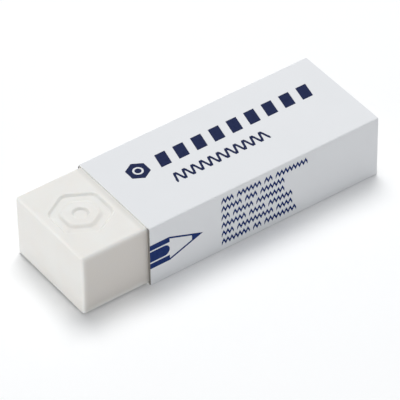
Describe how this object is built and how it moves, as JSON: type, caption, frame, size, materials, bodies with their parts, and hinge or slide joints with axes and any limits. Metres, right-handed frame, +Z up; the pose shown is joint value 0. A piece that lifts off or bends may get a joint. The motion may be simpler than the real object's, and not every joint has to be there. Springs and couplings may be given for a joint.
{
  "type": "rubber eraser",
  "caption": "Rectangular white vinyl eraser with a sunken hexagon on its bare end, in a printed white card sleeve that it slides out of.",
  "frame": {"origin": "under the middle of the whole eraser, on the surface that the sleeve rests on", "axes": "+X along the eraser from the bare end of the block to the covered end, +Z up through the titled panel, -Y out of the panel with the pencil on it"},
  "size_m": [0.0654, 0.0224, 0.0137],
  "materials": {
    "vinyl": "matte, slightly waxy",
    "card": "smooth coated",
    "ink": "printed, matte"
  },
  "bodies": {
    "sleeve": {"sleeve": "card", "sleeve_print": "ink"},
    "block": {"eraser_block": "vinyl"}
  },
  "joints": [
    {"name": "block_slide", "type": "slide", "parent": "sleeve", "child": "block", "axis": [-1, 0, 0], "range_m": [-0.065, 0.051]}
  ]
}
